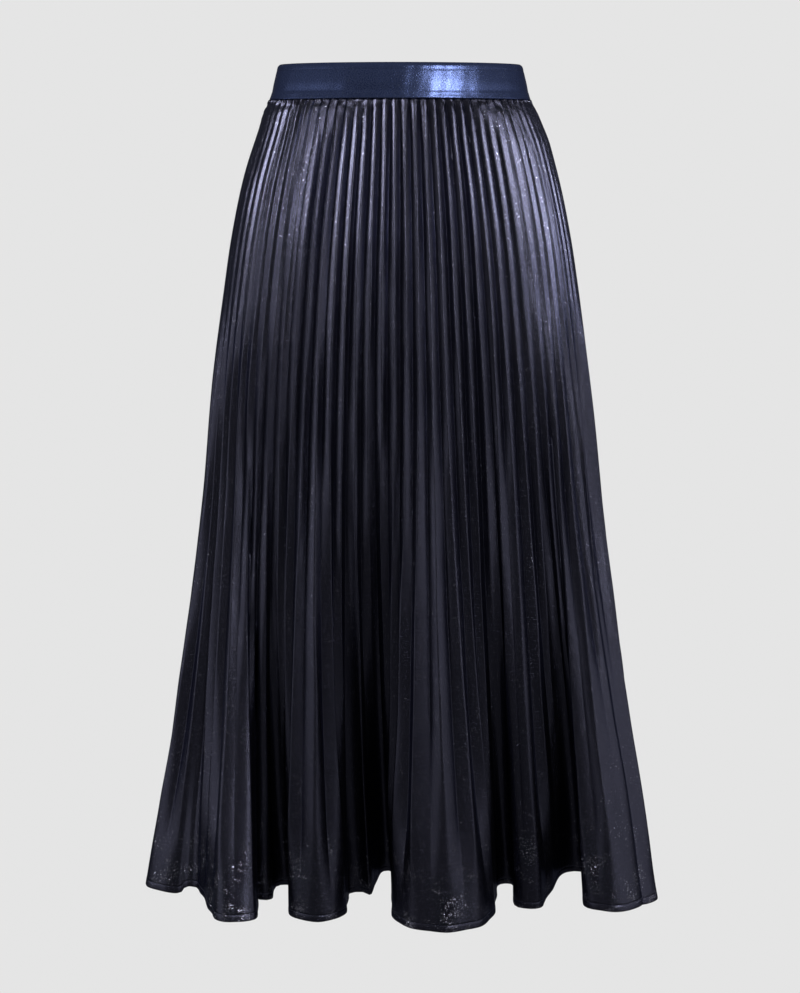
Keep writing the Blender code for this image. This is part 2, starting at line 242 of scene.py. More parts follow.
@dataclass
class SkirtForm:
    """The hanging form that all the pieces share: waist, hips and folded hem."""

    sections: tuple[Section, ...] = SECTIONS
    front_bends: tuple[Bend, ...] = FRONT_BENDS
    back_bends: tuple[Bend, ...] = BACK_BENDS
    band_height: float = 0.0365
    band_wall: float = 0.0024
    seam_gap: float = 0.00002
    skirt_drop: float = 0.871
    pleats_per_panel: int = 40
    fold_start: float = -0.200
    fold_growth: float = 2.1
    spline_samples: int = 24
    outline_samples: int = 720
    fineness: int = 12
    flank_from: float = 0.50
    flank_over: float = 0.45
    left_flank: Flank = Flank(0.0030, 0.100, -0.28, -0.46)
    right_flank: Flank = Flank(0.0054, 0.050, -0.72, -0.87)

    @property
    def band_bottom(self) -> float:
        """Height of the waistband's lower edge."""
        return -self.band_height / 2

    @property
    def panel_top(self) -> float:
        """Height of the pleated panels' upper edge."""
        return self.band_bottom - self.seam_gap

    @property
    def creases(self) -> int:
        """Number of creases in one panel."""
        return 2 * self.pleats_per_panel

    def section_at(self, height: float) -> list[float]:
        """Return the plain cone's sizes at a height.

        Args:
            height: The level.

        Returns:
            Half width, front depth and back depth.
        """
        heights = [row.height for row in self.sections]
        columns = ([row.half_width for row in self.sections],
                   [row.front_depth for row in self.sections],
                   [row.back_depth for row in self.sections])
        return [self.smooth_value(heights, column, height) for column in columns]

    @staticmethod
    def smooth_value(places: list[float], values: list[float], place: float) -> float:
        """Read a value on a smooth curve.

        Args:
            places: Falling places where the values are given.
            values: The values there.
            place: The place to read.

        Returns:
            The value on the curve.
        """
        spots = np.asarray(places, dtype=float)
        known = np.asarray(values, dtype=float)
        slopes = np.gradient(known, spots)
        spot = int(np.clip(np.searchsorted(-spots, -place), 1, len(spots) - 1))
        span = spots[spot] - spots[spot - 1]
        share = (place - spots[spot - 1]) / span
        square, cube = share ** 2, share ** 3
        return float((2 * cube - 3 * square + 1) * known[spot - 1]
                     + (cube - 2 * square + share) * slopes[spot - 1] * span
                     + (3 * square - 2 * cube) * known[spot]
                     + (cube - square) * slopes[spot] * span)

    def oval(self, height: float) -> tuple[Array, Array]:
        """Return the plain cone's outline at a height.

        Args:
            height: The level.

        Returns:
            Dense points of its front half and of its back half.
        """
        half_width, front_depth, back_depth = self.section_at(height)
        turn = np.linspace(0.0, math.pi, self.outline_samples)
        front = np.column_stack((-half_width * np.cos(turn), -front_depth * np.sin(turn)))
        back = np.column_stack((half_width * np.cos(turn), back_depth * np.sin(turn)))
        return front, back

    def closed_spline(self, points: list[tuple[float, float, float]]) -> Array:
        """Return a closed centripetal curve through some points.

        Args:
            points: Where it passes, each with the hem's lift as its third value.

        Returns:
            Dense points of the curve.
        """
        def blend(first: Array, second: Array, start: float, end: float, now: float) -> Array:
            """Blend two points by where a moment lies between start and end."""
            return ((end - now) * first + (now - start) * second) / (end - start)

        knots = np.asarray(points, dtype=float)
        count = len(knots)
        dense = []
        for index in range(count):
            before, start, end, after = (knots[(index + step) % count] for step in (-1, 0, 1, 2))
            times = [0.0]
            for first, second in ((before, start), (start, end), (end, after)):
                times.append(times[-1] + math.sqrt(np.linalg.norm(second[:2] - first[:2])))
            for step in range(self.spline_samples):
                now = times[1] + (times[2] - times[1]) * step / self.spline_samples
                low = blend(before, start, times[0], times[1], now)
                middle = blend(start, end, times[1], times[2], now)
                high = blend(end, after, times[2], times[3], now)
                left = blend(low, middle, times[0], times[2], now)
                right = blend(middle, high, times[1], times[3], now)
                dense.append(blend(left, right, times[1], times[2], now))
        return np.array(dense)

    @cached_property
    def hem(self) -> tuple[Array, Array]:
        """The folded hem's outline, through the rounds of all its bends.

        Returns:
            Dense points of its front half and of its back half, with lifts.
        """
        points = [spot for bend in self.front_bends + self.back_bends for spot in bend.points()]
        to_seam = len(self.front_bends[-1].points()) // 2 + 1
        points = points[-to_seam:] + points[:-to_seam]
        dense = self.closed_spline(points)
        front_knots = sum(len(bend.points()) for bend in self.front_bends)
        right_seam = front_knots * self.spline_samples
        return dense[:right_seam + 1], np.vstack((dense[right_seam:], dense[:1]))

    @staticmethod
    def even_ring(halves: tuple[Array, Array], count: int) -> Array:
        """Join two halves, each shared into even steps, into one ring of points.

        Args:
            halves: Dense front and back halves of an outline.
            count: Steps in each half.

        Returns:
            The ring's points, from the left seam round the front.
        """
        rings = []
        for half in halves:
            travelled = lengths(half[:, :2])
            wanted = np.linspace(0.0, travelled[-1], count + 1)[:-1]
            rings.append(np.column_stack([np.interp(wanted, travelled, half[:, axis])
                                          for axis in range(half.shape[1])]))
        return np.vstack(rings)

    @cached_property
    def hem_ring(self) -> Array:
        """The hem's fine ring of points, with lifts."""
        return self.even_ring(self.hem, self.creases * self.fineness)

    def middle(self, height: float) -> tuple[Array, Array]:
        """Return the cloth's middle line without its pleats.

        Args:
            height: Level of the line before the hem's lift.

        Returns:
            Points of the fine ring, and the height of each.
        """
        fall = max(0.0, (self.fold_start - height) / (self.fold_start + self.skirt_drop))
        fall **= self.fold_growth
        cone = self.even_ring(self.oval(height), self.creases * self.fineness)
        line = (1 - fall) * cone + fall * self.hem_ring[:, :2]
        outness = line[:, 0] / np.abs(line[:, 0]).max()
        drop = self.panel_top - height
        left, right = (flank.push(drop, height) for flank in (self.left_flank, self.right_flank))
        share = ease((np.abs(outness) - self.flank_from) / self.flank_over)
        line[:, 0] += share * np.where(outness < 0, -left, right)
        return line, height + fall * self.hem_ring[:, 2]


@dataclass
class PleatPressing:
    """How the pleats are pressed: depth, lean, roundness, and what differs by chance."""

    form: SkirtForm
    # How deep the pleats are, from the pressed waist down
    face_at_waist: float = 0.0070
    face_at_hem: float = 0.0195
    pressed_depth: float = 0.0030
    least_depth: float = 0.0048
    steepest: float = 0.84
    share_of_bend: float = 0.32
    opening_drop: float = 0.008
    bend_reach: int = 2
    least_turn: float = 0.001
    # How flat they lie on the flanks of the hips
    flank_flatness: float = 0.84
    flank_from: float = 0.40
    flank_over: float = 0.48
    flank_end: float = -0.20
    flank_fade: float = 0.20
    # How far the ridges lean over, and where they stand upright again
    lean: float = 0.42
    lean_power: float = 0.6
    lean_drop: float = 0.05
    upright_share: float = 0.6
    upright_from: float = -0.60
    upright_over: float = 0.24
    # How round they are, and how they soften towards the hem
    roundest: float = 1.06
    hem_softness: float = 0.60
    soft_from: float = -0.76
    soft_over: float = 0.105
    wave_share: float = 0.60
    wave_from: float = 0.86
    wave_over: float = 0.13
    # What chance adds to each pleat
    depth_chance: float = 0.15
    shift_chance: float = 0.06
    lean_chance: float = 0.18
    ripple: float = 0.0002
    ripple_start: float = 0.03
    crumple: float = 0.0009
    crumple_start: float = 0.003
    crumple_drop: float = 0.012
    crumple_waves: tuple[float, float] = (0.007, 0.016)
    crumple_sizes: tuple[float, float] = (0.2, 1.0)
    drift_levels: int = 9
    ripple_levels: int = 26
    seed: int = 11

    def __post_init__(self) -> None:
        """Draw the chance values of every pleat."""
        chance = np.random.default_rng(self.seed)
        count = 2 * self.form.creases
        self.depth_noise = chance.uniform(-1, 1, (self.drift_levels, count))
        self.shift_noise = chance.uniform(-1, 1, (self.drift_levels, count))
        self.ripple_noise = chance.uniform(-1, 1, (self.ripple_levels, count))
        self.lean_noise = chance.uniform(-1, 1, (self.drift_levels, count))
        self.crumple_wave = chance.uniform(*self.crumple_waves, count)
        self.crumple_phase = chance.uniform(0, 2 * math.pi, count)
        self.crumple_size = chance.uniform(*self.crumple_sizes, count)

    def drifting(self, noise: Array, height: float) -> Array:
        """Let the rows of some noise fade into each other from waist to hem.

        Args:
            noise: Rows of chance values, the waist's row first.
            height: The level.

        Returns:
            The level's own row of values.
        """
        place = (len(noise) - 1) * self.drop(height)
        low = min(int(place), len(noise) - 2)
        share = float(ease(place - low))
        return (1 - share) * noise[low] + share * noise[low + 1]

    def drop(self, height: float) -> float:
        """Return how far down the panel a level lies, from 0 to 1."""
        return (self.form.panel_top - height) / (self.form.panel_top + self.form.skirt_drop)

    def crease_depths(self, creased: Array, height: float) -> Array:
        """Return how deep the pleats are at every crease of a level.

        Args:
            creased: The middle line's points at the creases.
            height: The level.

        Returns:
            The depth from valley to ridge at each crease.
        """
        chord = np.roll(creased, -1, axis=0) - np.roll(creased, 1, axis=0)
        spacing = np.linalg.norm(chord, axis=1) / 2
        face = self.face_at_waist + (self.face_at_hem - self.face_at_waist) * self.drop(height)
        depth = np.sqrt(np.maximum(face ** 2 - spacing ** 2, self.least_depth ** 2))
        depth = np.minimum(depth, self.steepest * spacing)
        ahead = np.roll(creased, -self.bend_reach, axis=0) - creased
        behind = creased - np.roll(creased, self.bend_reach, axis=0)
        crossed = ahead[:, 0] * behind[:, 1] - ahead[:, 1] * behind[:, 0]
        turn = np.abs(np.arctan2(crossed, (ahead * behind).sum(axis=1)))
        radius = self.bend_reach * spacing / np.maximum(turn, self.least_turn)
        depth = np.minimum(depth, self.share_of_bend * radius)
        depth = np.minimum(depth, np.minimum(np.roll(depth, 1), np.roll(depth, -1)))
        depth = depth * (1 + self.depth_chance * self.drifting(self.depth_noise, height))
        depth = depth * (1 - self.flank_flatness * self.flank_share(creased, height))
        softness = self.hem_softness * float(ease((self.soft_from - height) / self.soft_over))
        depth = depth * (1 - softness)
        opening = ease((self.form.panel_top - height) / self.opening_drop)
        return self.pressed_depth + (depth - self.pressed_depth) * opening

    def flank_share(self, creased: Array, height: float) -> Array:
        """Return how far each crease belongs to the flanks of the hips.

        Args:
            creased: The middle line's points at the creases.
            height: The level.

        Returns:
            A share from 0 to 1 for each crease.
        """
        outness = np.abs(creased[:, 0]) / np.abs(creased[:, 0]).max()
        flank = ease((outness - self.flank_from) / self.flank_over)
        return flank * (1 - ease((self.flank_end - height) / self.flank_fade))

    def leans(self, creased: Array, height: float) -> Array:
        """Return how far the ridges lean along the ring.

        Args:
            creased: The middle line's points at the creases.
            height: The level.

        Returns:
            The lean at each crease, in creases.
        """
        bearing = np.arctan2(creased[:, 0], -creased[:, 1])
        twice = np.sin(2 * bearing)
        towards = -np.sign(twice) * np.abs(twice) ** self.lean_power
        level = ease((self.form.panel_top - height) / self.lean_drop)
        upright = self.upright_share * ease((self.upright_from - height) / self.upright_over)
        level = level * (1 - upright)
        wander = self.shift_chance * self.drifting(self.shift_noise, height)
        tilt = self.lean_chance * level * self.drifting(self.lean_noise, height)
        return self.lean * towards * level + wander + tilt

    def profile(self, ridgeness: Array, facing: Array, height: float) -> Array:
        """Return the pleats' profile at a level.

        Args:
            ridgeness: How far each column lies from its valley to its ridge.
            facing: 1 on a face turned away from the middle of the skirt, -1 on one turned to it.
            height: The level.

        Returns:
            How far each column stands out, from -0.5 in a valley to 0.5 on a ridge.
        """
        arch = 1 + (self.roundest - 1) * (0.5 + 0.5 * facing)
        crisp = 1 - (1 - ridgeness) ** arch
        wave = 0.5 - 0.5 * np.cos(math.pi * ridgeness)
        soft = self.wave_share * float(ease((self.drop(height) - self.wave_from) / self.wave_over))
        return (1 - soft) * crisp + soft * wave - 0.5

    def crumples(self, places: Array, height: float) -> Array:
        """Return the cloth's small pinches under the waistband and its ripples below.

        Args:
            places: Where the columns lie, in creases.
            height: The level.

        Returns:
            How far each column is moved outward.
        """
        depth = self.form.panel_top - height
        fade = math.exp(-depth / self.crumple_drop) * float(ease(depth / self.crumple_start))
        wave = np.sin(2 * math.pi * depth / self.crumple_wave + self.crumple_phase)
        pinch = self.crumple * fade * wave * self.crumple_size
        calm = self.ripple * float(ease(depth / self.ripple_start))
        return read_round(pinch + calm * self.drifting(self.ripple_noise, height), places)


@dataclass
class PleatedCloth:
    """Fine rings of the pleated cloth, from the waistband to the turned hem."""

    form: SkirtForm
    pressing: PleatPressing
    wall: float = 0.0008
    # The turned hem and the groove that its stitches pull in
    hem_fold: float = 0.00012
    hem_fold_height: float = 0.0052
    hem_fold_step: float = 0.0012
    inner_fold: float = 1.4
    edge_share: float = 0.35
    edge_round: float = 0.0012
    stitch_rise: float = 0.0066
    groove: float = 0.00018
    groove_width: float = 0.0006
    # Columns between a ridge and its valley, and rows from waist to hem
    from_ridge: tuple[float, ...] = (0.0, 0.11, 0.34, 0.64, 0.93)
    finest_row: float = 0.0016
    row_growth: float = 1.09
    coarsest_row: float = 0.0105
    hem_rows_from: float = 0.012
    hem_rows: tuple[float, ...] = (0.0105, 0.0088, 0.0076, 0.0070, 0.0066, 0.0062, 0.0055,
                                   0.0040, 0.0022, 0.0010, 0.0004, 0.0)

    @cached_property
    def places(self) -> Array:
        """The ring's columns.

        Returns:
            Where each column lies, in creases.
        """
        to_ridge = [0.0] + [1 - share for share in reversed(self.from_ridge[1:])]
        runs = [crease + np.array(self.from_ridge if crease % 2 else to_ridge)
                for crease in range(2 * self.form.creases)]
        return np.concatenate(runs)

    @cached_property
    def ridgeness(self) -> Array:
        """How far each column lies from its valley to its ridge.

        Returns:
            A share from 0 in a valley to 1 on a ridge, for each column.
        """
        crease = np.floor(self.places).astype(int)
        share = self.places - crease
        return np.where(crease % 2 == 1, 1 - share, share)

    @cached_property
    def levels(self) -> list[float]:
        """The rows of the cloth, closer together at the waistband and at the hem.

        Returns:
            The rows' heights, the top one first.
        """
        bottom = -self.form.skirt_drop
        levels = [self.form.panel_top]
        step = self.finest_row
        while levels[-1] - step > bottom + self.hem_rows_from:
            levels.append(levels[-1] - step)
            step = min(step * self.row_growth, self.coarsest_row)
        return levels + [bottom + rise for rise in self.hem_rows]

    def line(self, height: float) -> tuple[Array, Array]:
        """Return the pleated middle line of the cloth at a level.

        Args:
            height: The level before the hem's lift.

        Returns:
            The columns' points, and the height of each.
        """
        form, pressing = self.form, self.pressing
        dense, heights = form.middle(height)
        normals = outward_normals(dense, pressing.bend_reach * form.fineness)
        creased = dense[::form.fineness]
        depths = pressing.crease_depths(creased, height)
        leans = pressing.leans(creased, height)
        lean = read_round(leans, self.places)
        shifted = self.places + lean * self.ridgeness
        spots = read_round(dense, shifted * form.fineness)
        outward = read_round(normals, shifted * form.fineness)
        outward /= np.linalg.norm(outward, axis=1)[:, None]
        rising = np.where(np.floor(self.places).astype(int) % 2 == 0, 1.0, -1.0)
        facing = rising * np.clip(lean / pressing.lean, -1.0, 1.0)
        shape = pressing.profile(self.ridgeness, facing, height)
        push = shape * read_round(depths, self.places) + pressing.crumples(self.places, height)
        rise = read_round(heights, shifted * form.fineness)
        return spots + outward * push[:, None], rise

    def thickness(self, height: float) -> tuple[float, float]:
        """Return how thick the cloth is to each side of its middle line.

        Args:
            height: The level before the hem's lift.

        Returns:
            How far the outer and the inner side lie from the middle line.
        """
        rise = height + self.form.skirt_drop
        above_fold = float(ease((rise - self.hem_fold_height) / self.hem_fold_step))
        fold = self.hem_fold * (1 - above_fold)
        dip = self.groove * math.exp(-((rise - self.stitch_rise) / self.groove_width) ** 2)
        rounding = math.sqrt(min(1.0, rise / self.edge_round))
        edge = self.edge_share + (1 - self.edge_share) * rounding
        outer = (self.wall / 2 + fold - dip) * edge
        inner = (self.wall / 2 + self.inner_fold * fold) * edge
        return outer, inner

    @cached_property
    def rings(self) -> tuple[list[Array], list[Array]]:
        """The cloth's points.

        Returns:
            Rows of outer points and rows of inner points, the top row first.
        """
        outer_rows, inner_rows = [], []
        for height in self.levels:
            line, rise = self.line(height)
            arms = mitred_arms(line)
            outer, inner = self.thickness(height)
            outer_rows.append(np.column_stack((line + arms * outer, rise)))
            inner_rows.append(np.column_stack((line - arms * inner, rise)))
        return outer_rows, inner_rows

    def outer_ring(self, rise: float) -> Array:
        """Return a ring on the cloth's outer side.

        Args:
            rise: How far it lies above the hem's edge.

        Returns:
            The ring's points.
        """
        height = rise - self.form.skirt_drop
        line, heights = self.line(height)
        return np.column_stack((line + mitred_arms(line) * self.thickness(height)[0], heights))


class MeshMaker:
    """Turns rows of points into named, smooth, closed meshes."""

    most_drawn_in: float = 0.4

    @classmethod
    def stretch(cls, ring: Array, first: int, count: int, gap: float) -> Array:
        """Take a stretch of a ring, its two ends drawn in by half a seam's gap.

        Args:
            ring: The ring's points.
            first: The first column.
            count: How many steps the stretch has.
            gap: How far each end is drawn in.

        Returns:
            The stretch's points.
        """
        taken = ring[[(first + step) % len(ring) for step in range(count + 1)]].copy()
        for end, neighbour in ((0, 1), (-1, -2)):
            inward = taken[neighbour] - taken[end]
            size = np.linalg.norm(inward)
            taken[end] += inward / size * min(gap, size * cls.most_drawn_in)
        return taken

    @staticmethod
    def wall_faces(rows: int, columns: int) -> Array:
        """Return a closed wall's faces.

        Args:
            rows: Rows of points on each side.
            columns: Points in each row.

        Returns:
            Faces by number, the outer points numbered before the inner ones.
        """
        spots = np.arange(rows * columns).reshape(rows, columns)
        inner = rows * columns
        near, below = spots[:-1, :-1].ravel(), spots[1:, :-1].ravel()
        far, beside = spots[1:, 1:].ravel(), spots[:-1, 1:].ravel()
        outside = np.column_stack((near, below, far, beside))
        inside = outside[:, ::-1] + inner
        rim = np.concatenate((spots[0], spots[1:, -1], spots[-1, -2::-1], spots[-2:0:-1, 0]))
        onward = np.roll(rim, -1)
        edge = np.column_stack((rim, onward, onward + inner, rim + inner))
        return np.vstack((outside, inside, edge))

    @classmethod
    def half_wall(cls, name: str, side: Side, outer: list[Array], inner: list[Array],
                  gap: float) -> bpy.types.Object:
        """Build a closed cloth wall from the front or the back half of some rings.

        Args:
            name: The piece's name.
            side: The half that is taken.
            outer: Rings of outer points, the top one first.
            inner: Rings of inner points, the top one first.
            gap: How far each end is drawn in at its seam.

        Returns:
            The new piece.
        """
        count = len(outer[0]) // 2
        taken = [cls.stretch(ring, side.value * count, count, gap) for ring in outer + inner]
        rows, columns = len(outer), count + 1
        made = cls.piece(name, np.vstack(taken), cls.wall_faces(rows, columns).tolist())
        first_end = [len(made.data.polygons) - step for step in range(1, rows)]
        far_end = [number - (rows - 1) - (columns - 1) for number in first_end]
        for number in first_end + far_end:
            made.data.polygons[number].use_smooth = False
        return made

    @staticmethod
    def piece(name: str, points: Array, faces: list[list[int]]) -> bpy.types.Object:
        """Build one smooth-shaded piece from points and faces.

        Args:
            name: The piece's name.
            points: Its points.
            faces: Its faces, as the numbers of their points.

        Returns:
            The new piece, linked into the scene.
        """
        mesh = bpy.data.meshes.new(name)
        mesh.from_pydata(points.tolist(), [], faces)
        mesh.polygons.foreach_set("use_smooth", [True] * len(mesh.polygons))
        mesh.update()
        made = bpy.data.objects.new(name, mesh)
        bpy.context.scene.collection.objects.link(made)
        return made


class NodeBoard:
    """A material's node tree with short calls for the nodes that the finishes use."""

    millimetres_per_metre: float = 1000.0

    def __init__(self, name: str) -> None:
        """Start a new material with an empty Principled shader.

        Args:
            name: The material's name.
        """
        self.material = bpy.data.materials.new(name)
        self.material.use_nodes = True
        self.tree = self.material.node_tree
        self.shader = self.tree.nodes["Principled BSDF"]

    def node(self, kind: str, **settings: object) -> bpy.types.Node:
        """Add a node and set its properties.

        Args:
            kind: The node's type.
            settings: The properties that it gets.

        Returns:
            The new node.
        """
        made = self.tree.nodes.new(kind)
        for key, value in settings.items():
            setattr(made, key, value)
        return made

    def feed(self, socket: bpy.types.NodeSocket, value: object) -> None:
        """Link a socket to another, or give it a plain value.

        Args:
            socket: The socket that is fed.
            value: Another node's socket, or a number or colour.
        """
        if isinstance(value, bpy.types.NodeSocket):
            self.tree.links.new(value, socket)
        else:
            socket.default_value = value

    def millimetres(self) -> bpy.types.NodeSocket:
        """Measure places on the piece in millimetres.

        Returns:
            The socket of the piece's own coordinates.
        """
        place = self.node("ShaderNodeTexCoord")
        scaled = self.node("ShaderNodeVectorMath", operation="SCALE")
        self.feed(scaled.inputs[0], place.outputs["Object"])
        scaled.inputs["Scale"].default_value = self.millimetres_per_metre
        return scaled.outputs["Vector"]

    def stretched(self, vector: bpy.types.NodeSocket, scale: tuple[float, float, float]
                  ) -> bpy.types.NodeSocket:
        """Stretch coordinates axis by axis.

        Args:
            vector: The coordinates.
            scale: What each axis is multiplied by.

        Returns:
            The stretched coordinates' socket.
        """
        scaled = self.node("ShaderNodeVectorMath", operation="MULTIPLY")
        self.feed(scaled.inputs[0], vector)
        scaled.inputs[1].default_value = scale
        return scaled.outputs["Vector"]

    def noise(self, vector: bpy.types.NodeSocket, scale: float, detail: float = 2.0,
              rough: float = 0.5) -> bpy.types.NodeSocket:
        """Return a noise value.

        Args:
            vector: Where to read the noise.
            scale: Its fineness.
            detail: Its octaves.
            rough: How strong the finer octaves are.

        Returns:
            The noise value's socket.
        """
        made = self.node("ShaderNodeTexNoise")
        self.feed(made.inputs["Vector"], vector)
        made.inputs["Scale"].default_value = scale
        made.inputs["Detail"].default_value = detail
        made.inputs["Roughness"].default_value = rough
        return made.outputs["Fac"]

    def cells(self, vector: bpy.types.NodeSocket, scale: float
              ) -> tuple[bpy.types.NodeSocket, bpy.types.NodeSocket]:
        """Share the cloth into small cells.

        Args:
            vector: Where to read the cells.
            scale: Their fineness.

        Returns:
            Sockets of one chance value and one chance colour for each cell.
        """
        made = self.node("ShaderNodeTexVoronoi")
        self.feed(made.inputs["Vector"], vector)
        made.inputs["Scale"].default_value = scale
        split = self.node("ShaderNodeSeparateColor")
        self.feed(split.inputs[0], made.outputs["Color"])
        return split.outputs[0], made.outputs["Color"]

    def rise(self, vector: bpy.types.NodeSocket) -> bpy.types.NodeSocket:
        """Read how high a place lies.

        Args:
            vector: The place.

        Returns:
            The height's socket.
        """
        split = self.node("ShaderNodeSeparateXYZ")
        self.feed(split.inputs[0], vector)
        return split.outputs["Z"]

    def tilted(self, normal: bpy.types.NodeSocket, tip: bpy.types.NodeSocket,
               share: bpy.types.NodeSocket, most: float) -> bpy.types.NodeSocket:
        """Return a normal that the sparks tip over by chance.

        Args:
            normal: The cloth's normal.
            tip: The chance colour that gives the way each spark tips.
            share: Where the sparks are, from 0 to 1.
            most: How far a full spark may tip.

        Returns:
            The tipped normal's socket.
        """
        middle_colour = (0.5, 0.5, 0.5)
        centred = self.node("ShaderNodeVectorMath", operation="SUBTRACT")
        self.feed(centred.inputs[0], tip)
        centred.inputs[1].default_value = middle_colour
        scaled = self.node("ShaderNodeVectorMath", operation="SCALE")
        self.feed(scaled.inputs[0], centred.outputs["Vector"])
        self.feed(scaled.inputs["Scale"], self.math("MULTIPLY", share, most))
        added = self.node("ShaderNodeVectorMath", operation="ADD")
        self.feed(added.inputs[0], normal)
        self.feed(added.inputs[1], scaled.outputs["Vector"])
        even = self.node("ShaderNodeVectorMath", operation="NORMALIZE")
        self.feed(even.inputs[0], added.outputs["Vector"])
        return even.outputs["Vector"]

    def span(self, value: object, low: float, high: float, to_low: float = 0.0,
             to_high: float = 1.0) -> bpy.types.NodeSocket:
        """Map a value from one span to another, held at its ends.

        Args:
            value: The value or its socket.
            low: Start of the span that is read.
            high: End of the span that is read.
            to_low: What the start becomes.
            to_high: What the end becomes.

        Returns:
            The mapped value's socket.
        """
        made = self.node("ShaderNodeMapRange", clamp=True)
        for key, number in (("Value", value), ("From Min", low), ("From Max", high),
                            ("To Min", to_low), ("To Max", to_high)):
            self.feed(made.inputs[key], number)
        return made.outputs["Result"]

    def math(self, operation: str, first: object, second: object) -> bpy.types.NodeSocket:
        """Do a sum on two values.

        Args:
            operation: The kind of sum.
            first: The first value or its socket.
            second: The second value or its socket.

        Returns:
            The result's socket.
        """
        made = self.node("ShaderNodeMath", operation=operation)
        self.feed(made.inputs[0], first)
        self.feed(made.inputs[1], second)
        return made.outputs[0]

    def mix(self, share: object, first: object, second: object) -> bpy.types.NodeSocket:
        """Blend two colours.

        Args:
            share: How much of the second colour shows, from 0 to 1.
            first: The first colour or its socket.
            second: The second colour or its socket.

        Returns:
            The blend's socket.
        """
        made = self.node("ShaderNodeMix", data_type="RGBA")
        self.feed(made.inputs["Factor"], share)
        self.feed(made.inputs["A"], first)
        self.feed(made.inputs["B"], second)
        return made.outputs["Result"]

    def bump(self, height: bpy.types.NodeSocket, depth: float, strength: float = 1.0,
             under: bpy.types.NodeSocket | None = None) -> bpy.types.NodeSocket:
        """Return a normal raised by a height.

        Args:
            height: The height's socket, from 0 to 1.
            depth: How deep one unit of it is, in metres.
            strength: How strongly the bump shows.
            under: A normal that this one is laid on.

        Returns:
            The normal's socket.
        """
        made = self.node("ShaderNodeBump")
        made.inputs["Strength"].default_value = strength
        made.inputs["Distance"].default_value = depth
        self.feed(made.inputs["Height"], height)
        if under is not None:
            self.feed(made.inputs["Normal"], under)
        return made.outputs["Normal"]


@dataclass(frozen=True)
class FoilSatin:
    """Satin with a metallic coating: navy, glossy, with a fine crackled grain."""

    name: str
    deep: Colour
    light: Colour
    spark: Colour
    metallic: float
    roughness: float
    rough_spread: float
    grain_per_mm: float
    grain_depth: float
    spark_share: float
    slub_depth: float
    edge: Colour = (0.52, 0.55, 0.72, 1.0)
    coat: float = 0.06
    coat_roughness: float = 0.28
    # The crackled grain, its worn patches and the slubs of the weave
    grain_octaves: float = 3.0
    grain_fineness: float = 0.65
    patches_per_mm: float = 0.045
    slubs_per_mm: float = 0.9
    slub_stretch: tuple[float, float, float] = (1.6, 1.6, 0.12)
    cells_per_grain: float = 1.25
    facet_share: float = 0.35
    tint_span: tuple[float, float] = (0.30, 0.72)
    worn_span: tuple[float, float] = (0.35, 0.70)
    rough_span: tuple[float, float] = (0.25, 0.75)
    gather_span: tuple[float, float] = (0.50, 0.60)
    # Where the sparks gather, in millimetres of height, and how far they tip
    least_sparkle: float = 0.25
    glitter_from: float = -780.0
    glitter_full: float = -850.0
    glitter_share: float = 0.34
    spark_tilt: float = 0.9
    calm_tilt: float = 0.05

    def material(self) -> bpy.types.Material:
        """Build the finish.

        Returns:
            The material.
        """
        board = NodeBoard(self.name)
        inputs = board.shader.inputs
        place = board.millimetres()
        grain = board.noise(place, self.grain_per_mm, self.grain_octaves, self.grain_fineness)
        patch = board.noise(place, self.patches_per_mm)
        slub = board.noise(board.stretched(place, self.slub_stretch), self.slubs_per_mm)
        cell, tip = board.cells(place, self.grain_per_mm * self.cells_per_grain)
        worn = board.span(patch, *self.worn_span)
        tint = board.mix(board.span(grain, *self.tint_span), self.deep, self.light)
        low = board.span(board.rise(place), self.glitter_from, self.glitter_full)
        glitter = board.math("MULTIPLY", low, board.span(patch, *self.gather_span))
        least = board.span(glitter, 0.0, 1.0, 1 - self.spark_share, 1 - self.glitter_share)
        sparkle = board.math("MULTIPLY", board.span(cell, least, 1.0),
                             board.span(worn, 0.0, 1.0, self.least_sparkle, 1.0))
        board.feed(inputs["Base Color"], board.mix(sparkle, tint, self.spark))
        rough = board.span(grain, *self.rough_span, self.roughness + self.rough_spread,
                           self.roughness - self.rough_spread)
        board.feed(inputs["Roughness"], rough)
        inputs["Metallic"].default_value = self.metallic
        inputs["Specular Tint"].default_value = self.edge
        inputs["Coat Weight"].default_value = self.coat
        inputs["Coat Roughness"].default_value = self.coat_roughness
        crackle = board.bump(grain, self.grain_depth)
        facets = board.bump(cell, self.grain_depth * self.facet_share, under=crackle)
        wavy = board.bump(slub, self.slub_depth, under=facets)
        tipped = board.math("MULTIPLY", sparkle, board.span(low, 0.0, 1.0, self.calm_tilt, 1.0))
        board.feed(inputs["Normal"], board.tilted(wavy, tip, tipped, self.spark_tilt))
        board.material.diffuse_color = self.light
        return board.material


@dataclass(frozen=True)
class SewingThread:
    """Twisted thread, a shade darker than the cloth, with painted shade in the grooves of its
    twist.
    """

    name: str
    colour: Colour
    # The darker colour is painted shade, laid in the grooves of the twist
    shade: Colour
    roughness: float = 0.55
    twist_per_mm: float = 3.2
    twist_depth: float = 0.00006

    def material(self) -> bpy.types.Material:
        """Build the finish.

        Returns:
            The material.
        """
        board = NodeBoard(self.name)
        place = board.millimetres()
        twist = board.node("ShaderNodeTexWave", wave_type="BANDS", bands_direction="DIAGONAL")
        board.feed(twist.inputs["Vector"], place)
        twist.inputs["Scale"].default_value = self.twist_per_mm
        # Painted shade: the grooves of the twist, where the bump sinks, take the darker colour
        board.feed(board.shader.inputs["Base Color"],
                   board.mix(twist.outputs["Fac"], self.shade, self.colour))
        board.shader.inputs["Roughness"].default_value = self.roughness
        board.feed(board.shader.inputs["Normal"],
                   board.bump(twist.outputs["Fac"], self.twist_depth))
        board.material.diffuse_color = self.colour
        return board.material


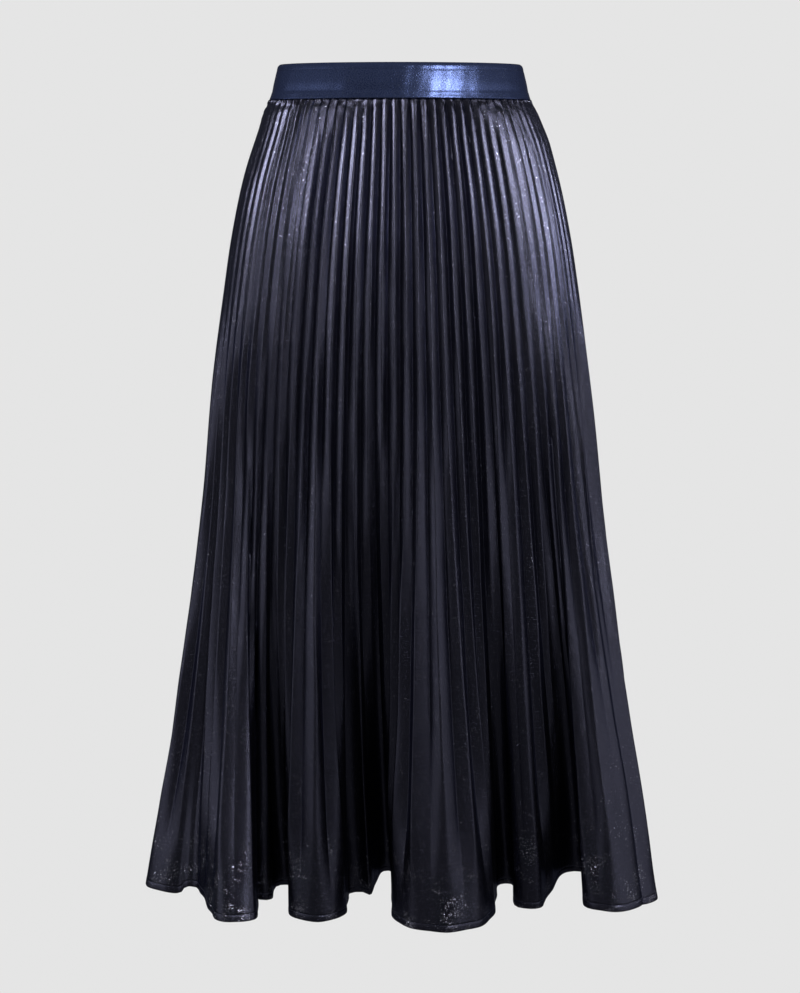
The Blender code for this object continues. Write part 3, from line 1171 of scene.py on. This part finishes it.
@dataclass(frozen=True)
class StudioPaper:
    """Even, pale paper, which shows its full colour and lights the cloth dimly."""

    name: str
    colour: Colour
    dimness: float

    def material(self) -> bpy.types.Material:
        """Build the finish.

        Returns:
            The material.
        """
        board = NodeBoard(self.name)
        inputs = board.shader.inputs
        inputs["Base Color"].default_value = (0.0, 0.0, 0.0, 1.0)
        inputs["Roughness"].default_value = 1.0
        inputs["Specular IOR Level"].default_value = 0.0
        inputs["Emission Color"].default_value = self.colour
        path = board.node("ShaderNodeLightPath")
        board.feed(inputs["Emission Strength"],
                   board.span(path.outputs["Is Camera Ray"], 0.0, 1.0, self.dimness, 1.0))
        return board.material


PLEATED_SATIN = FoilSatin(
    name="pleated_foil_satin", deep=(0.044, 0.044, 0.072, 1.0), light=(0.086, 0.088, 0.128, 1.0),
    spark=(0.50, 0.50, 0.60, 1.0), metallic=0.96, roughness=0.215, rough_spread=0.06,
    grain_per_mm=0.85, grain_depth=0.00016, spark_share=0.02, slub_depth=0.00003)
BAND_SATIN = FoilSatin(
    name="waistband_foil_satin", deep=(0.116, 0.161, 0.376, 1.0),
    light=(0.174, 0.235, 0.528, 1.0), spark=(0.34, 0.43, 0.68, 1.0), metallic=0.94,
    roughness=0.27, rough_spread=0.05, grain_per_mm=1.1, grain_depth=0.00007,
    spark_share=0.06, slub_depth=0.00003)
NAVY_THREAD = SewingThread("navy_thread", (0.030, 0.034, 0.075, 1.0), (0.012, 0.013, 0.030, 1.0))


@dataclass
class PleatedPanel:
    """One pleated panel of the skirt, front or back."""

    form: SkirtForm
    cloth: PleatedCloth
    side: Side
    name: str
    node: str
    flat: tuple[float, float] = (1.56, 0.853)
    cut_area: float = 0.90

    def build(self) -> bpy.types.Object:
        """Build the panel's cloth, without its finish."""
        outer, inner = self.cloth.rings
        return MeshMaker.half_wall(self.name, self.side, outer, inner, self.form.seam_gap)

    def dress(self, panel: bpy.types.Object, finish: bpy.types.Material) -> None:
        """Give the panel its finish and its place in the frame.

        Args:
            panel: The panel's cloth.
            finish: Its satin.
        """
        panel.data.materials.append(finish)
        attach(panel, BODY)
        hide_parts(self.node)


@dataclass
class WaistbandHalf:
    """Half of the covered elastic waistband, front or back."""

    form: SkirtForm
    side: Side
    name: str
    node: str
    # The rolled top edge and the steps of the wall
    roll_radius: float = 0.0030
    top_rise: float = 0.0008
    roll_degrees: float = 70.0
    roll_steps: int = 8
    straight_steps: int = 30
    steps_per_half: int = 180
    reach: int = 2
    # The seam allowance that shows through above the lower edge
    allowance_rise: float = 0.0062
    allowance_step: float = 0.0018
    allowance_swell: float = 0.00032
    edge_share: float = 0.25
    edge_round: float = 0.0012
    # Slight waves of the cloth over the elastic: size, turns, climb and start of each
    wave: float = 0.00022
    wave_start: float = 0.006
    waves: tuple[tuple[float, float, float, float], ...] = (
        (1.0, 9, 40, 0.0), (0.6, 23, 0, 1.3), (0.4, 41, -90, 0.0))
    # The top row of stitches and the dip that it pulls in
    top_stitch_drop: float = 0.0062
    stitch_dip: float = 0.00018
    dip_width: float = 0.0007
    flat: tuple[float, float] = (0.39, 0.0365)

    def profile(self) -> list[tuple[float, float, float]]:
        """Return the band's mid-wall profile.

        Returns:
            Height, inward shift and tilt of each step, top first.
        """
        top, bottom = self.form.band_height / 2 + self.top_rise, self.form.band_bottom
        full = math.radians(self.roll_degrees)
        start = top - (self.roll_radius + self.form.band_wall / 2) * math.sin(full)
        steps = []
        for step in range(self.roll_steps, 0, -1):
            tilt = full * step / self.roll_steps
            height = start + self.roll_radius * math.sin(tilt)
            steps.append((height, self.roll_radius * (1 - math.cos(tilt)), tilt))
        for step in range(self.straight_steps + 1):
            steps.append((start - (start - bottom) * step / self.straight_steps, 0.0, 0.0))
        return steps

    def swell(self, ring: Array, height: float) -> Array:
        """Return how far the outer side stands proud at a height.

        Args:
            ring: The wall's middle line there.
            height: The height.

        Returns:
            How far each point of the line is moved outward.
        """
        form = self.form
        rise = height - form.band_bottom
        above = float(1 - ease((rise - self.allowance_rise) / self.allowance_step))
        allowance = self.allowance_swell * above
        edge = float(ease(rise / self.edge_round)) * (1 - self.edge_share) + self.edge_share
        from_stitches = form.band_height / 2 - height - self.top_stitch_drop
        dip = self.stitch_dip * math.exp(-(from_stitches / self.dip_width) ** 2)
        bearing = np.arctan2(ring[:, 0], -ring[:, 1])
        wave = self.wave * sum(size * np.sin(turns * bearing + climb * height + start)
                               for size, turns, climb, start in self.waves)
        return wave * float(ease(rise / self.wave_start)) + allowance * edge - dip

    def ring(self, height: float, inward: float, tilt: float) -> tuple[Array, Array]:
        """Return the outer and inner points of one step of the profile.

        Args:
            height: Height of the wall's middle.
            inward: How far the roll has drawn it in.
            tilt: How far it has tilted, in radians.

        Returns:
            The outer ring and the inner ring.
        """
        middle = SkirtForm.even_ring(self.form.oval(height), self.steps_per_half)
        normals = outward_normals(middle, self.reach)
        half = self.form.band_wall / 2
        across, rise = half * math.cos(tilt), half * math.sin(tilt)
        proud = self.swell(middle, height) * math.cos(tilt)
        outer = middle + normals * (across - inward + proud)[:, None]
        inner = middle - normals * (across + inward)
        return (np.column_stack((outer, np.full(len(outer), height + rise))),
                np.column_stack((inner, np.full(len(inner), height - rise))))

    def build(self) -> bpy.types.Object:
        """Build the band half.

        Returns:
            The band half, without its finish.
        """
        outer, inner = zip(*(self.ring(*step) for step in self.profile()))
        return MeshMaker.half_wall(self.name, self.side, list(outer), list(inner),
                                   self.form.seam_gap)

    def dress(self, band: bpy.types.Object, finish: bpy.types.Material) -> None:
        """Give the band half its finish and its place in the frame.

        Args:
            band: The band half.
            finish: Its satin.
        """
        band.data.materials.append(finish)
        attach(band, BODY)
        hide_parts(self.node)


@dataclass(frozen=True)
class StitchSize:
    """Length and pitch of a machine stitch, and the width of its thread."""

    length: float
    pitch: float
    thread: float


class Stitch(Enum):
    """The machine stitches on the skirt, by the piece that they hold."""

    BAND = StitchSize(0.0022, 0.0031, 0.00026)
    HEM = StitchSize(0.0026, 0.0035, 0.00034)


@dataclass
class StitchRow:
    """A row of machine stitches that follows a ring on the cloth."""

    name: str
    stitch: Stitch
    sides: int = 6
    sink: float = 0.35
    end_dip: float = 0.6
    shares: tuple[tuple[float, float], ...] = (
        (0.0, 0.35), (0.12, 0.85), (0.5, 1.0), (0.88, 0.85), (1.0, 0.35))

    def build(self, ring: Array, side: Side) -> bpy.types.Object:
        """Build every stitch of one side's row.

        Args:
            ring: The closed line on the cloth, its front half first.
            side: The half of it that the stitches lie along.

        Returns:
            The row, without its finish.
        """
        size = self.stitch.value
        steps = len(ring) // 2
        taken = [(side.value * steps + step) % len(ring) for step in range(steps + 1)]
        line = ring[taken]
        travelled = lengths(line)
        out = outward_normals(ring[:, :2], 1)[taken]
        outward = np.column_stack((out, np.zeros(len(out))))
        count = int(travelled[-1] / size.pitch)
        pitch = travelled[-1] / count
        points, faces = [], []
        for index in range(count):
            start = index * pitch + (pitch - size.length) / 2
            spots = [start + share * size.length for share, _ in self.shares]
            centre = np.column_stack([np.interp(spots, travelled, line[:, axis])
                                      for axis in range(3)])
            normal = np.column_stack([np.interp(spots, travelled, outward[:, axis])
                                      for axis in range(3)])
            normal /= np.linalg.norm(normal, axis=1)[:, None]
            self.add_stitch(points, faces, centre, normal)
        return MeshMaker.piece(self.name, np.array(points), faces)

    def add_stitch(self, points: list[Array], faces: list[list[int]], centre: Array,
                   normal: Array) -> None:
        """Add one stitch's points and faces to the row.

        Args:
            points: Points so far.
            faces: Faces so far.
            centre: Points on the cloth under the stitch.
            normal: The cloth's normals there.
        """
        first = len(points)
        along = np.gradient(centre, axis=0)
        along /= np.linalg.norm(along, axis=1)[:, None]
        up = np.cross(normal, along)
        thread = self.stitch.value.thread
        for row, (_, fullness) in enumerate(self.shares):
            radius = thread / 2 * fullness
            lift = thread / 2 * (self.sink - self.end_dip * (1 - fullness))
            for side in range(self.sides):
                angle = 2 * math.pi * side / self.sides
                arm = math.cos(angle) * normal[row] + math.sin(angle) * up[row]
                points.append(centre[row] + normal[row] * lift + arm * radius)
        rows = len(self.shares)
        for row in range(rows - 1):
            for side in range(self.sides):
                here, there = first + row * self.sides, (side + 1) % self.sides
                faces.append([here + side, here + there, here + self.sides + there,
                              here + self.sides + side])
        faces.append([first + side for side in reversed(range(self.sides))])
        faces.append([first + (rows - 1) * self.sides + side for side in range(self.sides)])

    def dress(self, row: bpy.types.Object, finish: bpy.types.Material, slot: str) -> None:
        """Give the row its finish and let it ride on the skirt.

        Args:
            row: The row of stitches.
            finish: Its thread.
            slot: Not used.
        """
        row.data.materials.append(finish)
        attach(row, BODY)


@dataclass(frozen=True)
class SoftLight:
    """A soft box round the skirt: where it stands, how large and strong, and what it lights."""

    name: str
    bearing: float
    elevation: float
    distance: float
    width: float
    height: float
    power: float
    turn: float = 0.0
    flagged: bool = False

    def build(self, target: Vector) -> bpy.types.Object:
        """Build the light.

        Args:
            target: The point that it is turned to.

        Returns:
            The light, linked into the scene.
        """
        lamp = bpy.data.lights.new(self.name, "AREA")
        lamp.shape = "RECTANGLE"
        lamp.size, lamp.size_y = self.width, self.height
        lamp.energy = self.power
        light = bpy.data.objects.new(self.name, lamp)
        bearing, elevation = math.radians(self.bearing), math.radians(self.elevation)
        away = Vector((math.sin(bearing) * math.cos(elevation),
                       -math.cos(bearing) * math.cos(elevation), math.sin(elevation)))
        light.location = target + away * self.distance
        roll = Quaternion((0.0, 0.0, 1.0), math.radians(self.turn))
        light.rotation_euler = ((-away).to_track_quat("-Z", "Y") @ roll).to_euler()
        light.visible_camera = False
        bpy.context.scene.collection.objects.link(light)
        return light


@dataclass
class Studio:
    """A plain pale studio: floor, soft boxes, dim surroundings and camera."""

    paper: Colour = (0.783, 0.783, 0.783, 1.0)
    floor_height: float = -1.12
    floor_radius: float = 9.0
    floor_thickness: float = 0.02
    floor_sides: int = 64
    dim_low: float = 0.078
    dim_high: float = 0.12
    dim_span: tuple[float, float] = (0.10, 0.42)
    aim: tuple[float, float, float] = (0.0, -0.05, -0.20)
    # Name, bearing, elevation, distance, width, height and power of each box
    lights: tuple[SoftLight, ...] = (
        SoftLight("band_light", 34.0, 17.0, 2.3, 0.44, 0.60, 9.0),
        SoftLight("front_box", 8.0, 27.0, 2.2, 0.90, 0.45, 4.0, flagged=True),
        SoftLight("left_strip", -84.0, 24.0, 2.2, 0.36, 0.90, 18.0, turn=-24.0, flagged=True),
        SoftLight("right_strip", 102.0, 17.0, 2.2, 0.32, 1.50, 17.0, turn=50.0, flagged=True),
        SoftLight("left_wall", -78.0, -1.0, 1.9, 2.3, 1.10, 3.5),
        SoftLight("right_wall", 78.0, -1.0, 1.9, 2.3, 1.10, 3.5),
    )
    lens: float = 74.0
    sensor: float = 36.0
    camera_place: tuple[float, float, float] = (0.0, -2.2714, -0.0578)
    camera_tilt: float = 80.0
    flagged: list[bpy.types.Object] = field(default_factory=list)

    def build_floor(self) -> bpy.types.Object:
        """Build the floor.

        Returns:
            The floor, marked as stage.
        """
        count = self.floor_sides
        turns = np.linspace(0.0, 2 * math.pi, count, endpoint=False)
        rim = np.column_stack((np.cos(turns), np.sin(turns))) * self.floor_radius
        top = np.column_stack((rim, np.full(count, self.floor_height)))
        low = np.column_stack((rim, np.full(count, self.floor_height - self.floor_thickness)))
        faces = [list(range(count)), list(range(2 * count - 1, count - 1, -1))]
        for near in range(count):
            far = (near + 1) % count
            faces.append([near, near + count, far + count, far])
        floor = MeshMaker.piece("studio_floor", np.vstack((top, low)), faces)
        floor.data.polygons.foreach_set("use_smooth", [False] * len(floor.data.polygons))
        finish = StudioPaper("pale_paper", self.paper, self.dim_low)
        floor.data.materials.append(finish.material())
        return floor

    def build_surroundings(self) -> None:
        """Build the pale backdrop and the dim light that the cloth mirrors."""
        world = bpy.data.worlds.new("studio")
        world.use_nodes = True
        bpy.context.scene.world = world
        tree = world.node_tree
        tree.nodes.clear()
        place = tree.nodes.new("ShaderNodeTexCoord")
        split = tree.nodes.new("ShaderNodeSeparateXYZ")
        rise = tree.nodes.new("ShaderNodeMapRange")
        rise.interpolation_type = "SMOOTHSTEP"
        names = ("From Min", "From Max", "To Min", "To Max")
        for key, number in zip(names, (*self.dim_span, self.dim_low, self.dim_high)):
            rise.inputs[key].default_value = number
        path = tree.nodes.new("ShaderNodeLightPath")
        mix = tree.nodes.new("ShaderNodeMix")
        mix.data_type = "RGBA"
        mix.inputs["B"].default_value = self.paper
        glow = tree.nodes.new("ShaderNodeBackground")
        out = tree.nodes.new("ShaderNodeOutputWorld")
        tree.links.new(place.outputs["Generated"], split.inputs[0])
        tree.links.new(split.outputs["Z"], rise.inputs["Value"])
        tree.links.new(rise.outputs["Result"], mix.inputs["A"])
        tree.links.new(path.outputs["Is Camera Ray"], mix.inputs["Factor"])
        tree.links.new(mix.outputs["Result"], glow.inputs["Color"])
        tree.links.new(glow.outputs[0], out.inputs["Surface"])

    def build_camera(self) -> bpy.types.Object:
        """Build the camera at the photograph's viewing angle.

        Returns:
            The camera, set as the scene's own.
        """
        data = bpy.data.cameras.new("front_camera")
        data.lens, data.sensor_width = self.lens, self.sensor
        camera = bpy.data.objects.new("front_camera", data)
        camera.location = self.camera_place
        camera.rotation_euler = (math.radians(self.camera_tilt), 0.0, 0.0)
        bpy.context.scene.collection.objects.link(camera)
        bpy.context.scene.camera = camera
        return camera

    def build(self) -> None:
        """Build the whole studio."""
        bpy.context.scene.view_settings.view_transform = "Standard"
        self.build_camera()
        self.build_floor()
        self.build_surroundings()
        for light in self.lights:
            lamp = light.build(Vector(self.aim))
            if light.flagged:
                self.flagged.append(lamp)

    def flag(self, pieces: list[bpy.types.Object]) -> None:
        """Keep the flagged boxes' light on some pieces only.

        Args:
            pieces: The pieces that they light.
        """
        lit = bpy.data.collections.new("lit_by_flagged_boxes")
        for piece in pieces:
            lit.objects.link(piece)
        for lamp in self.flagged:
            lamp.light_linking.receiver_collection = lit


@dataclass
class Skirt:
    """The whole skirt: waistband, pleated panels and sewing."""

    report: Callable[[bpy.types.Object], None]
    form: SkirtForm = field(default_factory=SkirtForm)
    seam_row_rise: float = 0.0009

    def build(self) -> list[bpy.types.Object]:
        """Build, dress and report every piece.

        Returns:
            The pieces of the pleated skirt, below its waistband.
        """
        cloth = PleatedCloth(self.form, PleatPressing(self.form))
        band_finish, cloth_finish = BAND_SATIN.material(), PLEATED_SATIN.material()
        thread = NAVY_THREAD.material()
        hanging = []
        for side in Side:
            band = self.build_band(side, band_finish, thread)
            hanging += self.build_panel(side, cloth, cloth_finish, thread)
        return hanging

    def build_band(self, side: Side, finish: bpy.types.Material,
                   thread: bpy.types.Material) -> bpy.types.Object:
        """Build one half of the waistband with its two rows of stitches.

        Args:
            side: Front or back.
            finish: The band's satin.
            thread: The sewing thread.

        Returns:
            The band half.
        """
        word = side.name.lower()
        half = WaistbandHalf(self.form, side, f"{word}_band_cloth", f"waistband_{word}")
        band = half.build()
        half.dress(band, finish)
        self.report(band)
        top = self.form.band_height / 2 - half.top_stitch_drop
        low = self.form.band_bottom + self.seam_row_rise
        rows = [self.sew(StitchRow(f"{word}_{place}_stitches", Stitch.BAND),
                         half.ring(height, 0.0, 0.0)[0], side, thread, "waistband_satin")
                for place, height in (("band", top), ("seam", low))]
        return band

    def build_panel(self, side: Side, cloth: PleatedCloth,
                    finish: bpy.types.Material, thread: bpy.types.Material
                    ) -> list[bpy.types.Object]:
        """Build one pleated panel with the stitches of its hem.

        Args:
            side: Front or back.
            cloth: The pressed and hanging cloth of both panels.
            finish: The panel's satin.
            thread: The sewing thread.

        Returns:
            The panel and its row of stitches.
        """
        word = side.name.lower()
        width = PleatedPanel(self.form, cloth, side, f"{word}_panel_cloth", f"skirt_{word}_panel")
        panel = width.build()
        width.dress(panel, finish)
        self.report(panel)
        row = self.sew(StitchRow(f"{word}_hem_stitches", Stitch.HEM),
                       cloth.outer_ring(cloth.stitch_rise), side, thread, "pleated_satin")
        return [panel, row]

    def sew(self, row: StitchRow, ring: Array, side: Side, thread: bpy.types.Material,
            slot: str) -> bpy.types.Object:
        """Build, dress and report one side's row of stitches.

        Args:
            row: The kind of row.
            ring: The closed line on the cloth that it follows.
            side: Front or back.
            thread: The sewing thread.
            slot: Not used; it is only handed on to the row, which does not read it.

        Returns:
            The row.
        """
        stitches = row.build(ring, side)
        row.dress(stitches, thread, slot)
        self.report(stitches)
        return stitches


def report_piece(piece: bpy.types.Object) -> None:
    """Report one piece and how many faces it has."""
    LOG.info("%s: %d faces", piece.name, len(piece.data.polygons))


def main() -> None:
    """Build the studio and the skirt, and report each piece."""
    logging.basicConfig(level=logging.INFO, format="%(message)s")
    studio = Studio()
    studio.build()
    studio.flag(Skirt(report_piece).build())


if __name__ == "__main__":
    main()
